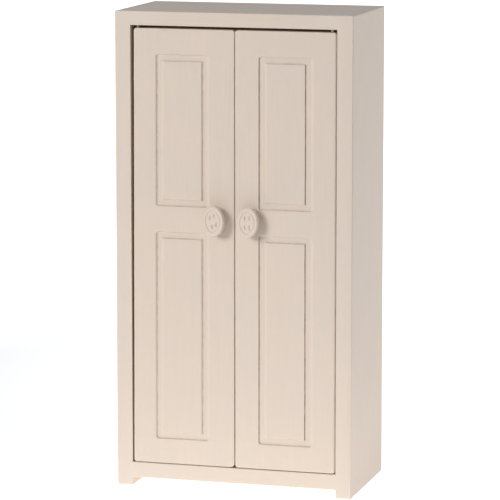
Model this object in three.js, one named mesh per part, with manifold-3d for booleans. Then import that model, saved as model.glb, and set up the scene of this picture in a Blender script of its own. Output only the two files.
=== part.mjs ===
// Miniature wardrobe for a dolls' house: a painted wooden case with two inset doors that turn on pins.
// Millimetres, +Z up, front towards -Y. The origin is on the floor, in the middle of the whole outline.

import * as THREE from 'three';
import { mergeVertices } from 'three/addons/utils/BufferGeometryUtils.js';
import Module from 'manifold-3d';

const wasm = await Module();
wasm.setup();

// Driving dimensions of the case.
const caseWidth = 96.7;
const caseHeight = 190.85;
const caseDepth = 52;
const sideThickness = 6.35;
const topThickness = 5.6;
const bottomThickness = 6.25;
const footHeight = 3.4;
const edgeRadius = 0.5;

// Back panel, held in a rebate all round, with brad heads that end flush with the back of the case.
// Brads stand at these heights up both sides, and this far to each side along the top and bottom.
const rebate = 3;
const backThickness = 2.5;
const bradHeadRadius = 0.9;
const bradHeadThickness = 0.5;
const bradRadius = 0.4;
const bradLength = 7;
const bradPoint = 0.8;
const bradHeights = [20.65, 97.65, 174.65];
const bradFromMiddle = 21;

// Doors. The back of the meeting edge is bevelled, so that the doors can swing past each other with a
// narrow gap at the front. toMeeting is the direction from the hinge to the other door, sideGap the mean
// gap to the side panel, and width the mean width. hingeLean and meetingLean are how far the tops of those
// edges stand out towards +X from their bottoms, because the door isn't quite square. Along the door
// from its hinge edge, the outer rim of the channels spans from hingeStile to hingeStile + rimWidth.
const doorThickness = 5;
const doorGapTop = 1.1;
const doorGapBottom = 0.3;
const hingeEdgeRadius = 0.85;
const meetingEdgeRadius = 0.35;
const doorBackRadius = 0.3;
const meetingBevel = 0.25;
const doors = [
  {
    name: 'left',
    toMeeting: 1,
    width: 41.7,
    sideGap: 0.925,
    hingeLean: 0.8,
    meetingLean: 0.1,
    hingeStile: 9.05,
    rimWidth: 22.45,
    knobFromEdge: 7.2,
    knobTurn: -3,
  },
  {
    name: 'right',
    toMeeting: -1,
    width: 40.95,
    sideGap: 0.25,
    hingeLean: 0,
    meetingLean: 0,
    hingeStile: 9.05,
    rimWidth: 22.3,
    knobFromEdge: 6.6,
    knobTurn: 2,
  },
];

// Routed channels that leave two raised panels on each door: wider beside the stiles than beside the rails.
const stileChannel = 3.6;
const railChannel = 3.25;
const channelDepth = 0.7;
const topRail = 9.8;
const middleRail = 9.75;
const bottomRail = 9.8;
const upperRimHeight = 60.65;

// Hinge pins, fixed in the top and bottom boards.
const pinRadius = 0.65;
const pinInset = 2;
const pinSetback = 1.5;
const pinInBoard = 4;
const pinInDoor = 5;
const pinTip = 0.25;

// Button knobs on pegs.
const knobProjection = 5;
const knobWidth = 8.4;
const knobHeight = 12;
const knobThickness = 2.2;
const knobRounding = 0.8;
const knobRim = 1.3;
const rimCrest = 0.33;
const dishDepth = 0.7;
const knobCentreHeight = 109.35;
const buttonHoleRadius = 0.8;
const buttonHoleDepth = 1;
const buttonHolesAcross = 3;
const buttonHolesUp = 4.4;
const pegRadius = 1.9;
const pegWaist = 1.5;
const pegInDoor = 3;

// Shelf, clothes rail and door stop.
const shelfThickness = 4;
const shelfTop = 150.65;
const shelfGroove = 1.5;
const shelfBehindDoors = 1;
const railRadius = 2;
const railHeight = 133.65;
const railSocket = 2.5;
const stopThickness = 3;
const stopHeight = 4;
const stopBehindDoors = 0.5;

// Clearance of a glued or driven piece in its hole or groove, and of a turning pin in its bore.
const fitGap = 0.25;
const boreGap = 0.2;

// How far a cutter runs past the face that it opens.
const overrun = 1;

// Sides of round holes and pins, of small round pieces and of larger ones, and steps in a rounded corner.
const holeSides = 16;
const bradSides = 12;
const railSides = 24;
const knobSides = 40;
const cornerSteps = 4;

// Planes that follow from the driving dimensions.
const frontY = knobProjection - (caseDepth + knobProjection) / 2;
const backY = frontY + caseDepth;
const innerX = caseWidth / 2 - sideThickness;
const outerX = caseWidth / 2;
const floorZ = footHeight + bottomThickness;
const ceilingZ = caseHeight - topThickness;
const doorBottomZ = floorZ + doorGapBottom;
const doorHeight = ceilingZ - doorGapTop - doorBottomZ;
const doorBackY = frontY + doorThickness;
const rebateY = backY - rebate;
const hingeY = frontY + pinSetback;
const railY = (doorBackY + rebateY) / 2;
const backPanelY = rebateY + backThickness;
const pinTopLength = pinInBoard + doorGapTop + pinInDoor;
const pinBottomLength = pinInBoard + doorGapBottom + pinInDoor;

// The x of a door's hinge axis.
function hingeX(door) {
  return -door.toMeeting * (innerX - door.sideGap - pinInset);
}

// Gives a closed geometry as a solid that can be cut and joined.
function toSolid(geometry) {
  const bare = geometry.clone();
  bare.deleteAttribute('normal');
  bare.deleteAttribute('uv');
  const merged = mergeVertices(bare, 1e-5);
  const corners = merged.index.array;
  const triangles = [];
  for (let i = 0; i < corners.length; i += 3) {
    const [a, b, c] = corners.slice(i, i + 3);
    if (a !== b && b !== c && c !== a) {
      triangles.push(a, b, c);
    }
  }
  return new wasm.Manifold(new wasm.Mesh({
    numProp: 3,
    vertProperties: new Float32Array(merged.attributes.position.array),
    triVerts: new Uint32Array(triangles),
  }));
}

// Gives a solid back as a geometry.
function toGeometry(solid) {
  const mesh = solid.getMesh();
  const geometry = new THREE.BufferGeometry();
  geometry.setAttribute('position', new THREE.BufferAttribute(new Float32Array(mesh.vertProperties), 3));
  geometry.setIndex(new THREE.BufferAttribute(new Uint32Array(mesh.triVerts), 1));
  geometry.computeVertexNormals();
  return geometry;
}

// A block given by two opposite corners, in any order.
function block(from, to) {
  const size = from.map((value, axis) => Math.abs(to[axis] - value));
  const middle = from.map((value, axis) => (to[axis] + value) / 2);
  return new THREE.BoxGeometry(...size).translate(...middle);
}

// A round bar along Z, from a point upwards.
function bar(radius, x, y, z, length) {
  return new THREE.CylinderGeometry(radius, radius, length, holeSides)
    .rotateX(Math.PI / 2)
    .translate(x, y, z + length / 2);
}

// A round bar along Y, from a point backwards.
function barAlongY(radius, x, y, z, length) {
  return new THREE.CylinderGeometry(radius, radius, length, holeSides).translate(x, y + length / 2, z);
}

// A closed outline through [x, y, radius] corners; a corner with a radius is rounded by an arc.
function roundedOutline(corners) {
  const shape = new THREE.Shape();
  corners.forEach(([x, y, radius = 0], index) => {
    const corner = new THREE.Vector2(x, y);
    const before = new THREE.Vector2(...corners.at(index - 1));
    const after = new THREE.Vector2(...corners[(index + 1) % corners.length]);
    const start = corner.clone().add(before.sub(corner).setLength(radius));
    const end = corner.clone().add(after.sub(corner).setLength(radius));
    if (index === 0) {
      shape.moveTo(start.x, start.y);
    } else {
      shape.lineTo(start.x, start.y);
    }
    if (radius > 0) {
      shape.quadraticCurveTo(corner.x, corner.y, end.x, end.y);
    }
  });
  return shape;
}

// An outline in plan (X, Y), extruded upwards from z = 0.
function extrudeUp(corners, height) {
  return new THREE.ExtrudeGeometry(roundedOutline(corners), {
    depth: height,
    bevelEnabled: false,
    curveSegments: cornerSteps,
  });
}

// An outline seen from the side (Y, Z), extruded along X and centred on x = 0.
function extrudeAcross(corners, width) {
  return extrudeUp(corners, width)
    .applyMatrix4(new THREE.Matrix4().makeBasis(
      new THREE.Vector3(0, 1, 0),
      new THREE.Vector3(0, 0, 1),
      new THREE.Vector3(1, 0, 0),
    ))
    .translate(-width / 2, 0, 0);
}

// An outline seen from the front (X, Z), extruded backwards from y = 0.
function extrudeBack(corners, depth) {
  return extrudeUp(corners.map(([x, z, radius]) => [x, -z, radius]), depth).rotateX(-Math.PI / 2);
}

// A turned piece: radius and height pairs from the axis and back to it, turned about Z.
function turned(profile, sides) {
  const points = profile.map(([radius, height]) => new THREE.Vector2(radius, height));
  return new THREE.LatheGeometry(points, sides).rotateX(Math.PI / 2);
}

const paint = { color: 0xd9ccbf, roughness: 0.55, metalness: 0 };
const backPaint = { color: 0xd2c5b8, roughness: 0.65, metalness: 0 };
const bareWood = { color: 0xcdb08a, roughness: 0.7, metalness: 0 };
const steel = { color: 0xa79c8c, roughness: 0.5, metalness: 1 };

function piece(name, geometry, finish) {
  const mesh = new THREE.Mesh(geometry, new THREE.MeshStandardMaterial(finish));
  mesh.name = name;
  return mesh;
}

// The places of the brads round the back panel, as [x, z].
const bradX = innerX + rebate / 2;
const bradPlaces = [
  ...bradHeights.flatMap((z) => [[-bradX, z], [bradX, z]]),
  ...[-bradFromMiddle, bradFromMiddle].flatMap((x) => [
    [x, ceilingZ + rebate / 2],
    [x, floorZ - rebate / 2],
  ]),
];

// Holes for the brads' shanks, from the back panel's rear face forwards.
function bradHoles() {
  const length = bradLength + fitGap;
  return bradPlaces.map(([x, z]) => toSolid(
    barAlongY(bradRadius + boreGap, x, backPanelY - length, z, length + overrun),
  ));
}

function cutAll(solid, cutters) {
  return cutters.reduce((rest, cutter) => rest.subtract(cutter), solid);
}

// A side panel: rounded outside edges, rear rebate, shelf groove and rail socket. side is -1 or 1.
function sidePanel(side) {
  const plan = [
    [side * innerX, frontY],
    [side * outerX, frontY, edgeRadius],
    [side * outerX, backY, edgeRadius],
    [side * innerX, backY],
  ];
  const elevation = [
    [side * innerX, 0],
    [side * outerX, 0],
    [side * outerX, caseHeight, edgeRadius],
    [side * innerX, caseHeight],
  ];
  const board = toSolid(extrudeUp(plan, caseHeight))
    .intersect(toSolid(extrudeBack(elevation, caseDepth).translate(0, frontY, 0)));
  const panelSeat = toSolid(block(
    [side * (innerX - overrun), rebateY, floorZ - rebate],
    [side * (innerX + rebate), backY + overrun, ceilingZ + rebate],
  ));
  const groove = toSolid(block(
    [side * (innerX - overrun), doorBackY + shelfBehindDoors - fitGap, shelfTop - shelfThickness - fitGap],
    [side * (innerX + shelfGroove), rebateY + overrun, shelfTop + fitGap],
  ));
  const socket = toSolid(
    bar(railRadius + fitGap, 0, 0, 0, railSocket + overrun)
      .rotateY(side * Math.PI / 2)
      .translate(side * (innerX - overrun), railY, railHeight),
  );
  return toGeometry(cutAll(board, [panelSeat, groove, socket, ...bradHoles()]));
}

// Blind holes in the top or bottom board for both doors' pins, as upright cutters from a height.
function pinHoles(z) {
  return doors.map((door) => toSolid(
    bar(pinRadius + boreGap, hingeX(door), hingeY, z, pinInBoard + fitGap + overrun),
  ));
}

// The top board between the side panels, with blind holes for the upper hinge pins.
function topBoard() {
  const profile = [
    [frontY, ceilingZ],
    [rebateY, ceilingZ],
    [rebateY, ceilingZ + rebate],
    [backY, ceilingZ + rebate],
    [backY, caseHeight, edgeRadius],
    [frontY, caseHeight, edgeRadius],
  ];
  const board = toSolid(extrudeAcross(profile, 2 * innerX));
  return toGeometry(cutAll(board, [...pinHoles(ceilingZ - overrun), ...bradHoles()]));
}

// The bottom board between the side panels, with blind holes for the lower hinge pins.
function bottomBoard() {
  const profile = [
    [frontY, footHeight, edgeRadius],
    [backY, footHeight],
    [backY, floorZ - rebate],
    [rebateY, floorZ - rebate],
    [rebateY, floorZ],
    [frontY, floorZ],
  ];
  const board = toSolid(extrudeAcross(profile, 2 * innerX));
  return toGeometry(cutAll(board, [...pinHoles(floorZ - pinInBoard - fitGap), ...bradHoles()]));
}

// The thin back panel in its rebate, drilled for the brads.
function backPanel() {
  const halfWidth = innerX + rebate - fitGap;
  const board = toSolid(block(
    [-halfWidth, rebateY, floorZ - rebate + fitGap],
    [halfWidth, backPanelY, ceilingZ + rebate - fitGap],
  ));
  return toGeometry(cutAll(board, bradHoles()));
}

// A brad along Y, with its point at y = 0 and its head at the back.
function brad() {
  return turned([
    [0, 0],
    [bradRadius, bradPoint],
    [bradRadius, bradLength],
    [bradHeadRadius, bradLength],
    [bradHeadRadius, bradLength + bradHeadThickness],
    [0, bradLength + bradHeadThickness],
  ], bradSides).rotateX(-Math.PI / 2);
}

// The shelf, with its ends in the grooves of the side panels and its back clear of the back panel.
function shelf() {
  const halfLength = innerX + shelfGroove - fitGap;
  return block(
    [-halfLength, doorBackY + shelfBehindDoors, shelfTop - shelfThickness],
    [halfLength, rebateY - fitGap, shelfTop],
  );
}

// The dowel that hangers go on, centred on its middle.
function clothesRail() {
  const length = 2 * (innerX + railSocket - fitGap);
  return turned([
    [0, 0],
    [railRadius - fitGap, 0],
    [railRadius, fitGap],
    [railRadius, length - fitGap],
    [railRadius - fitGap, length],
    [0, length],
  ], railSides).rotateY(Math.PI / 2).translate(-length / 2, 0, 0);
}

// The strip under the top board that the closed doors meet.
function doorStop() {
  return block(
    [-innerX, doorBackY + stopBehindDoors, ceilingZ - stopHeight],
    [innerX, doorBackY + stopBehindDoors + stopThickness, ceilingZ],
  );
}

// A hinge pin standing on z = 0.
function hingePin(length) {
  return turned([
    [0, 0],
    [pinRadius - pinTip, 0],
    [pinRadius, pinTip],
    [pinRadius, length - pinTip],
    [pinRadius - pinTip, length],
    [0, length],
  ], holeSides);
}

// The ring-shaped channel round one raised panel, between two heights above the door's bottom.
function channelRing(door, low, high) {
  const near = door.toMeeting * (door.hingeStile - pinInset);
  const far = near + door.toMeeting * door.rimWidth;
  const inset = door.toMeeting * stileChannel;
  const floorY = channelDepth - pinSetback;
  const outside = toSolid(block([near, -pinSetback - overrun, low], [far, floorY, high]));
  const raised = toSolid(block(
    [near + inset, -pinSetback - 2 * overrun, low + railChannel],
    [far - inset, floorY + overrun, high - railChannel],
  ));
  return outside.subtract(raised);
}

// The x of a door's knob, from its hinge axis.
function knobX(door) {
  return door.toMeeting * (door.width - pinInset - door.knobFromEdge);
}

// A door's geometry with its hinge and meeting edges leaned out of square, each by its own amount.
function leaned(geometry, door) {
  const points = geometry.attributes.position;
  const hingeEdge = -door.toMeeting * pinInset;
  for (let i = 0; i < points.count; i += 1) {
    const across = door.toMeeting * (points.getX(i) - hingeEdge) / door.width;
    const lean = THREE.MathUtils.lerp(door.hingeLean, door.meetingLean, across);
    points.setX(i, points.getX(i) + lean * (points.getZ(i) / doorHeight - 0.5));
  }
  return geometry;
}

// A door about its hinge axis, with its bottom at z = 0: routed channels, bores for the pins and a
// blind hole for the peg of the knob.
function doorBoard(door) {
  const hingeEdge = -door.toMeeting * pinInset;
  const meetingEdge = hingeEdge + door.toMeeting * door.width;
  const doorBack = doorThickness - pinSetback;
  const plan = [
    [hingeEdge, -pinSetback, hingeEdgeRadius],
    [meetingEdge, -pinSetback, meetingEdgeRadius],
    [meetingEdge - door.toMeeting * meetingBevel, doorBack, doorBackRadius],
    [hingeEdge, doorBack, doorBackRadius],
  ];
  const lowerRimTop = doorHeight - topRail - upperRimHeight - middleRail;
  const channels = [
    channelRing(door, bottomRail, lowerRimTop),
    channelRing(door, lowerRimTop + middleRail, doorHeight - topRail),
  ];
  const leaning = leaned(toGeometry(cutAll(toSolid(extrudeUp(plan, doorHeight)), channels)), door);
  const bores = [-overrun, doorHeight - pinInDoor - fitGap].map((z) => toSolid(
    bar(pinRadius + boreGap, 0, 0, z, pinInDoor + fitGap + overrun),
  ));
  const pegHole = toSolid(barAlongY(
    pegRadius + fitGap,
    knobX(door),
    -pinSetback - overrun,
    knobCentreHeight - doorBottomZ,
    pegInDoor + fitGap + overrun,
  ));
  return toGeometry(cutAll(toSolid(leaning), [...bores, pegHole]));
}

// The waisted peg that is glued into the door and carries the knob. Its front end is at y = 0.
function knobPeg() {
  const length = knobProjection - knobThickness + pegInDoor;
  return turned([
    [0, 0],
    [pegRadius, 0],
    [pegWaist, (length - pegInDoor) / 2],
    [pegRadius, length - pegInDoor],
    [pegRadius, length],
    [0, length],
  ], holeSides).rotateX(-Math.PI / 2);
}

// An oval button: raised rim, sunken dish and four blind holes. Its front is at y = 0.
function buttonKnob() {
  const radius = knobHeight / 2;
  const squash = knobWidth / knobHeight;
  const dishZ = knobThickness - dishDepth;
  const rimMiddle = radius - knobRim / 2;
  const disc = toSolid(turned([
    [0, 0],
    [radius - knobRounding, 0],
    [radius, knobRounding],
    [radius, knobThickness - knobRounding],
    [rimMiddle, knobThickness],
    [rimMiddle - rimCrest, knobThickness],
    [radius - knobRim - dishDepth, dishZ],
    [0, dishZ],
  ], knobSides));
  const holes = [-1, 1].flatMap((right) => [-1, 1].map((up) => toSolid(bar(
    buttonHoleRadius,
    right * buttonHolesAcross / 2,
    up * buttonHolesUp / 2,
    dishZ - buttonHoleDepth,
    buttonHoleDepth + overrun,
  ))));
  return toGeometry(cutAll(disc, holes))
    .scale(squash, 1, 1)
    .rotateX(Math.PI / 2)
    .translate(0, knobThickness, 0);
}

// The case: everything that doesn't move, with the hinge pins fixed in its top and bottom boards.
function caseGroup() {
  const group = new THREE.Group();
  group.add(piece('left_side_panel', sidePanel(-1), paint));
  group.add(piece('right_side_panel', sidePanel(1), paint));
  group.add(piece('top_board', topBoard(), paint));
  group.add(piece('bottom_board', bottomBoard(), paint));
  group.add(piece('back_panel', backPanel(), backPaint));
  group.add(piece('shelf', shelf(), bareWood));
  group.add(piece('door_stop_strip', doorStop(), bareWood));
  const rail = piece('clothes_rail', clothesRail(), bareWood);
  rail.position.set(0, railY, railHeight);
  group.add(rail);
  doors.forEach((door) => {
    const topPin = piece(`${door.name}_door_top_pin`, hingePin(pinTopLength), steel);
    topPin.position.set(hingeX(door), hingeY, ceilingZ + pinInBoard - pinTopLength);
    const bottomPin = piece(`${door.name}_door_bottom_pin`, hingePin(pinBottomLength), steel);
    bottomPin.position.set(hingeX(door), hingeY, floorZ - pinInBoard);
    group.add(topPin, bottomPin);
  });
  bradPlaces.forEach(([x, z], index) => {
    const nail = piece(`back_brad_${index + 1}`, brad(), steel);
    nail.position.set(x, backPanelY - bradLength, z);
    group.add(nail);
  });
  return group;
}

// One door on its hinge axis, with its knob and peg.
function doorGroup(door) {
  const group = new THREE.Group();
  group.position.set(hingeX(door), hingeY, doorBottomZ);
  group.add(piece(`${door.name}_door`, doorBoard(door), paint));
  const knob = piece(`${door.name}_knob`, buttonKnob(), paint);
  knob.position.set(knobX(door), -pinSetback - knobProjection, knobCentreHeight - doorBottomZ);
  knob.rotation.y = THREE.MathUtils.degToRad(door.knobTurn);
  const peg = piece(`${door.name}_knob_peg`, knobPeg(), paint);
  peg.position.copy(knob.position);
  peg.position.y += knobThickness;
  group.add(knob, peg);
  return group;
}

const wardrobe = new THREE.Group();
wardrobe.add(caseGroup(), ...doors.map(doorGroup));

export default wardrobe;
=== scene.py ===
"""A miniature painted wardrobe for a dolls' house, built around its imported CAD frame.

Metres, +Z up, with the front towards -Y.
"""
import math

import bmesh
import bpy
from mathutils import Matrix, Vector, noise


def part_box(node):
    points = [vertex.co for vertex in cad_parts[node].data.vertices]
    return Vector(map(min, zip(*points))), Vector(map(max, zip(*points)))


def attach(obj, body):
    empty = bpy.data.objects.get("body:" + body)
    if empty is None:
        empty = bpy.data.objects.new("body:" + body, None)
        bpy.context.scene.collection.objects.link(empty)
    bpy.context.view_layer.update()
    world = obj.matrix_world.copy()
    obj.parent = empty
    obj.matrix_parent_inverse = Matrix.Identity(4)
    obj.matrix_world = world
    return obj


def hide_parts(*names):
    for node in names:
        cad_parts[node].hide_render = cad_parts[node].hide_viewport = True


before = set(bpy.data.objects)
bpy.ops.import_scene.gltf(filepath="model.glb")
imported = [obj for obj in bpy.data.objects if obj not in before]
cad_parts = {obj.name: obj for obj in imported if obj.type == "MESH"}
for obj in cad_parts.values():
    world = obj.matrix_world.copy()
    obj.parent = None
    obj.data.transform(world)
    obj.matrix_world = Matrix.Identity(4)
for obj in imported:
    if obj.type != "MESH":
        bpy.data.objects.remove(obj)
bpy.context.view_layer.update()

MM = 0.001

# Camera: how far round and above the front it stands, how far away, its lens, and what it is aimed at.
VIEW_AZIMUTH = math.radians(15.86)
VIEW_ELEVATION = math.radians(9.03)
VIEW_DISTANCE = 1.2035
VIEW_LENS = 220.5
AIM_RIGHT = 7.0 * MM
AIM_HEIGHT = 97.9 * MM

# Light, where 1 is the radiance of a white card lit as brightly as the image can show. The floor glows
# with FLOOR_NEAR beside the wardrobe, fading out further off, with FLOOR_BACK added behind it and
# FLOOR_SIDE to its right, and the sky goes from SKY_LOW at the horizon to SKY_HIGH.
FLOOR_NEAR = 0.78
FLOOR_BACK = 1.0
FLOOR_SIDE = 0.5
FLOOR_FADE = (0.05, 0.3)
FLOOR_BACK_FADE = (0.06, 0.4)
FLOOR_SIDE_FADE = (0.06, 0.1)
FLOOR_TONE = (0.8, 0.8, 0.8, 1.0)
FLOOR_ROUGHNESS = 0.9
FLOOR_HALF_WIDTH = 12.0
SKY_COLOUR = (0.955, 1.0, 1.08, 1.0)
SKY_LOW = 0.0
SKY_HIGH = 0.46
SKY_FADE = (0.0, 0.7)

# Softboxes: watts, degrees round from the front and up, and metres away and across.
KEY_POWER = 8.8
KEY_AZIMUTH = -32
KEY_ELEVATION = 22
KEY_DISTANCE = 1.3
KEY_SIZE = 0.48
FILL_POWER = 6.8
FILL_AZIMUTH = 105
FILL_ELEVATION = 8
FILL_DISTANCE = 1.6
FILL_SIZE = 1.3

# Softened edges: of the case at its front, at its sides and back, and round its opening; of the doors at
# each edge, at the back and at their corners; and of the inner boards and the rail. CASE_ROUNDING is the
# largest that rounded_board can give.
FRONT_ROUNDING = 0.45 * MM
CASE_ROUNDING = 0.5 * MM
OPENING_ROUNDING = 0.35 * MM
HINGE_ROUNDING = 0.85 * MM
MEETING_ROUNDING = 0.4 * MM
TOP_ROUNDING = 0.25 * MM
BOTTOM_ROUNDING = 0.3 * MM
BACK_ROUNDING = 0.3 * MM
CORNER_ROUNDING = 1.1 * MM
WORN_CORNER = 0.5 * MM
INNER_ROUNDING = 0.4 * MM
BACK_PANEL_ROUNDING = 0.2 * MM

# How far the paint runs round the front edge of the opening, where the bare inside starts; its wood tone is
# partly painted shade for the gaps beside the doors.
PAINT_OVERLAP = 0.6 * MM

# How finely edges are rounded, the angle from which an edge is sharp, and how close two coordinates are
# that count as the same.
ROUND_STEPS = 4
SHARP_ANGLE = math.radians(38)
SAME_PLACE = 1e-6

# How many parts the long edges of boards are divided into.
UPRIGHT_PARTS = 12
CROSS_PARTS = 8
INNER_PARTS = 4

# Doors: how far the tops of their hinge and meeting edges stand out towards +X, the bevel at the back
# of the meeting edges, and the rim of the routed channels: across from the hinge edge, and up from
# rail to rail.
HINGE_LEAN = {"left": 0.8 * MM, "right": 0.0}
MEETING_LEAN = {"left": 0.1 * MM, "right": 0.0}
MEETING_BEVEL = 0.25 * MM
HINGE_STILE = 9.05 * MM
RIM_WIDTH = {"left": 22.45 * MM, "right": 22.3 * MM}
TOP_RAIL = 9.8 * MM
MIDDLE_RAIL = 9.75 * MM
BOTTOM_RAIL = 9.8 * MM
UPPER_RIM = 60.65 * MM
STILE_CHANNEL = 3.6 * MM
RAIL_CHANNEL = 3.25 * MM
CHANNEL_DEPTH = 0.6 * MM
ROUTER_RADIUS = 1.5 * MM
LEAST_ROUTER_RADIUS = 0.15 * MM
LEAST_CORNER_RADIUS = 0.1 * MM

# Walls of the channels by the way they face: how far each one slopes, and how deep the crack is that
# the paint has left open at its foot.
WALL_SLOPE = {
    "left": {"right": 0.85 * MM, "left": 1.2 * MM, "up": 0.5 * MM, "down": 0.7 * MM},
    "right": {"right": 0.2 * MM, "left": 1.2 * MM, "up": 0.5 * MM, "down": 0.7 * MM},
}
CRACK_WIDTH = 0.18 * MM
CRACK_DEPTH = {
    "left": {"right": 0.0, "left": 0.0, "up": 0.03 * MM, "down": 0.0},
    "right": {"right": 0.12 * MM, "left": 0.0, "up": 0.05 * MM, "down": 0.05 * MM},
}

# The small waver of the doors' edges. The noise is seeded from the clock until it is given a seed.
WAVE_HEIGHT = 0.05 * MM
WAVE_LENGTH = 9 * MM
WAVE_SEED = 4
noise.seed_set(WAVE_SEED)

# Joints: the rebate for the back panel, the play of glued and driven pieces, of the pins in their bores
# and of the knob pegs, and how far cutters run past what they cut.
REBATE = 3 * MM
PLAY = 0.25 * MM
BORE_PLAY = 0.2 * MM
PEG_PLAY = 0.05 * MM
OVERRUN = 1 * MM

# Pins: the rounding of their ends as a share of their radius.
PIN_SOFTNESS = 0.6

# Brads: the shank and dome as shares of the head's radius; the point, its length and the neck under the
# head as shares of the shank's radius; and the height of the head, of which BRAD_RIM is its rim's radius.
BRAD_SHANK = 0.44
BRAD_DOME = 0.8
BRAD_POINT = 0.15
BRAD_TAPER = 2.2
BRAD_NECK = 1.15
BRAD_RIM = 0.4
BRAD_HEAD_HEIGHT = 0.5 * MM
DOME_ANGLES = (0.5, 0.8, 1.1, 1.4)

# Knobs: ovals KNOB_FLATNESS as wide as they are tall, with the rounding of the back edge, how far in from
# the edge the crest of the rim, the groove and the boss are, and how far the last two lie below the crest.
KNOB_FLATNESS = 0.7
KNOB_EDGE = 0.4 * MM
KNOB_CREST = 0.95 * MM
KNOB_GROOVE = 1.85 * MM
KNOB_GROOVE_DEPTH = 0.3 * MM
KNOB_BOSS = 2.4 * MM
KNOB_BOSS_DEPTH = 0.1 * MM
SHOULDER_ANGLES = range(0, 91, 10)

# Holes of the knobs: half their width and height, the soft lip round them, their depth, the width left at
# the foot, their spacing and shift; and how far the knobs and the sets of holes are turned.
KNOB_HOLE_WIDTH = 0.65 * MM
KNOB_HOLE_HEIGHT = 0.95 * MM
KNOB_HOLE_LIP = 0.25 * MM
KNOB_HOLE_DEPTH = 0.4 * MM
KNOB_HOLE_FOOT = 0.45
KNOB_HOLES_ACROSS = 2.6 * MM
KNOB_HOLES_UP = 3.7 * MM
KNOB_HOLES_SHIFT = {"left": 0.2 * MM, "right": 0.0}
KNOB_TURN = {"left": math.radians(3), "right": math.radians(-2)}
KNOB_HOLES_TURN = {"left": math.radians(15), "right": math.radians(2)}

# Pegs: how much narrower the waist is, as a share of the radius.
PEG_WAIST = 0.22
PEG_STEPS = 10

# Sides of turned pieces.
TURNED_SIDES = 64
SMALL_SIDES = 32
HOLE_SIDES = 20


def middle(name):
    """The middle of a CAD node's box."""
    low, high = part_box(name)
    return (low + high) / 2


# ---------------------------------------------------------------- mesh helpers

def add_loop(bm, points):
    """New vertices at the points of a closed loop."""
    return [bm.verts.new(point) for point in points]


def join_loops(bm, first, second, slots=None):
    """Quads between two closed loops that have as many vertices, with a material slot for each."""
    for i, corner in enumerate(first):
        j = (i + 1) % len(first)
        face = bm.faces.new((corner, first[j], second[j], second[i]))
        face.material_index = slots[i] if slots else 0


def join_all(bm, loops):
    """Quads between each loop and the next."""
    for first, second in zip(loops, loops[1:]):
        join_loops(bm, first, second)


def loop_edges(bm, loop):
    """The edges round a loop, made where they are missing."""
    edges = []
    for i, vertex in enumerate(loop):
        pair = (vertex, loop[(i + 1) % len(loop)])
        edges.append(bm.edges.get(pair) or bm.edges.new(pair))
    return edges


def fill_between(bm, loops):
    """Fills the flat area inside the first loop and outside the others."""
    edges = [edge for loop in loops for edge in loop_edges(bm, loop)]
    bmesh.ops.triangle_fill(bm, edges=edges, use_beauty=True)


def smooth_shading(bm):
    """Outward faces, smooth except over edges sharper than SHARP_ANGLE."""
    bmesh.ops.recalc_face_normals(bm, faces=bm.faces)
    for face in bm.faces:
        face.smooth = True
    for edge in bm.edges:
        edge.smooth = len(edge.link_faces) == 2 and edge.calc_face_angle(math.pi) < SHARP_ANGLE


def mesh_object(name, bm, materials=()):
    """A linked object made from a bmesh, which is freed."""
    mesh = bpy.data.meshes.new(name)
    for material in materials:
        mesh.materials.append(material)
    bm.to_mesh(mesh)
    bm.free()
    obj = bpy.data.objects.new(name, mesh)
    bpy.context.scene.collection.objects.link(obj)
    return obj


def apply_modifiers(obj):
    """Makes the effect of an object's modifiers part of its mesh."""
    graph = bpy.context.evaluated_depsgraph_get()
    result = bpy.data.meshes.new_from_object(obj.evaluated_get(graph))
    obj.modifiers.clear()
    obj.data = result


def cut(obj, cutters):
    """Takes the closed bmeshes in cutters away from obj."""
    tools = []
    for cutter in cutters:
        bmesh.ops.recalc_face_normals(cutter, faces=cutter.faces)
        tools.append(mesh_object("cutter", cutter, [*obj.data.materials]))
    collection = bpy.data.collections.new("cutters")
    for tool in tools:
        collection.objects.link(tool)
    modifier = obj.modifiers.new("cut", "BOOLEAN")
    modifier.operation = "DIFFERENCE"
    modifier.solver = "EXACT"
    modifier.operand_type = "COLLECTION"
    modifier.collection = collection
    apply_modifiers(obj)
    for tool in tools:
        bpy.data.objects.remove(tool)
    bpy.data.collections.remove(collection)


def finish_piece(obj, body, nodes):
    """Shades a piece and joins it to the frame."""
    bm = bmesh.new()
    bm.from_mesh(obj.data)
    smooth_shading(bm)
    bm.to_mesh(obj.data)
    bm.free()
    weighted = obj.modifiers.new("weighted_normals", "WEIGHTED_NORMAL")
    weighted.keep_sharp = True
    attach(obj, body)
    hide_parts(*nodes)


def box_mesh(low, high):
    """A plain closed box, used only to cut with."""
    bm = bmesh.new()
    bmesh.ops.create_cube(bm, size=1)
    size = Vector(high) - Vector(low)
    bmesh.ops.scale(bm, vec=size, verts=bm.verts)
    bmesh.ops.translate(bm, vec=(Vector(high) + Vector(low)) / 2, verts=bm.verts)
    return bm


def rod_mesh(start, end, radius, sides=SMALL_SIDES):
    """A plain closed rod between two points, used only to cut with."""
    start, end = Vector(start), Vector(end)
    bm = bmesh.new()
    bmesh.ops.create_cone(
        bm, cap_ends=True, segments=sides, radius1=radius, radius2=radius, depth=(end - start).length
    )
    turn = (end - start).to_track_quat("Z", "Y").to_matrix().to_4x4()
    bmesh.ops.transform(bm, matrix=Matrix.Translation((start + end) / 2) @ turn, verts=bm.verts)
    return bm


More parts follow.
